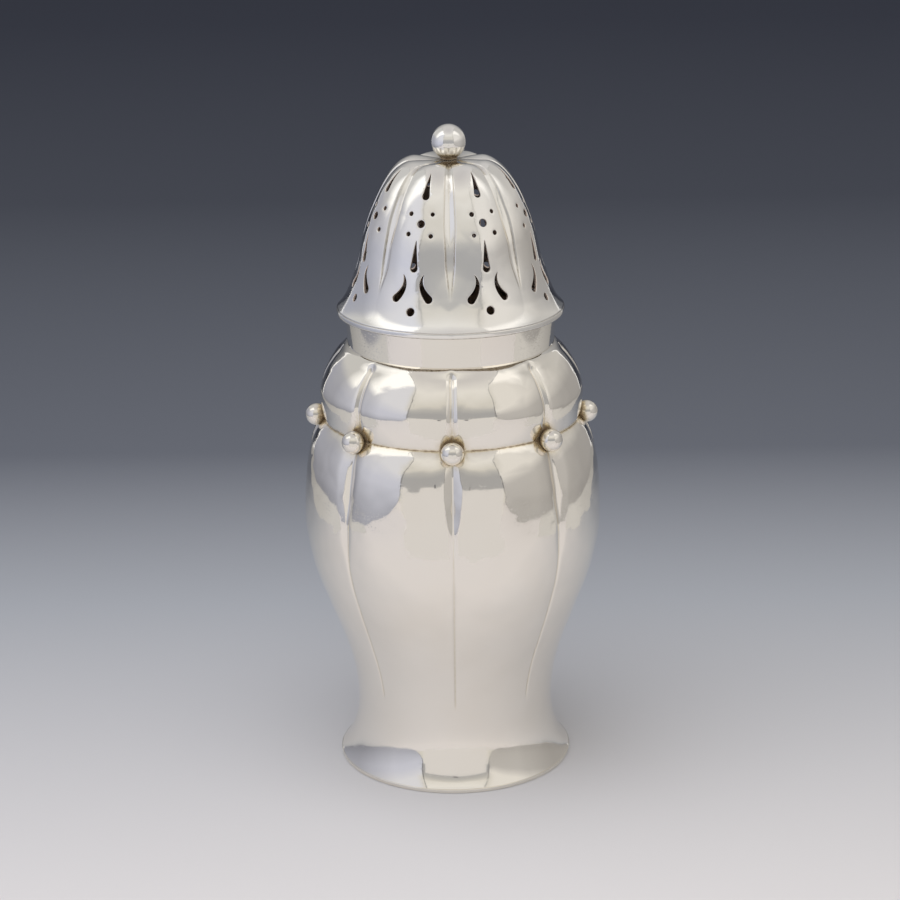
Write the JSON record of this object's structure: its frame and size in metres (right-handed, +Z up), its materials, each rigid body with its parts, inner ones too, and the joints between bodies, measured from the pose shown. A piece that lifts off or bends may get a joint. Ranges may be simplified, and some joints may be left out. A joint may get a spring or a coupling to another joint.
{
  "type": "sugar caster",
  "caption": "Lobed silver sugar caster on a flared foot, with beads set in its pinched body and a pierced bell-shaped lid that lifts off by a ball finial.",
  "frame": {"origin": "centre of the foot ring's underside, on the surface the caster stands on", "axes": "+Z up along the caster's axis; -Y towards the crease that faces the viewer"},
  "size_m": [0.0814, 0.0814, 0.1792],
  "materials": {
    "body_silver": "hand raised, planished and polished silver",
    "foot_silver": "polished silver, worn underneath",
    "bead_silver": "polished silver, tarnished round the seat",
    "lid_silver": "hand raised, pierced and polished silver",
    "sleeve_silver": "drawn silver, rubbed by the collar",
    "finial_silver": "polished silver"
  },
  "bodies": {
    "body": {"body_shell": "body_silver", "neck_collar": "body_silver", "foot_ring": "foot_silver", "base_plate": "foot_silver", "waist_bead_1": "bead_silver", "waist_bead_2": "bead_silver", "waist_bead_3": "bead_silver", "waist_bead_4": "bead_silver", "waist_bead_5": "bead_silver", "waist_bead_6": "bead_silver", "waist_bead_7": "bead_silver", "waist_bead_8": "bead_silver"},
    "lid": {"lid_dome": "lid_silver", "lid_rim": "lid_silver", "lid_sleeve": "sleeve_silver", "finial_ball": "finial_silver", "finial_peg": "finial_silver"}
  },
  "joints": [
    {"name": "lid_lift", "type": "slide", "parent": "body", "child": "lid", "axis": [0, 0, 1], "range_m": [0, 0.06]}
  ]
}
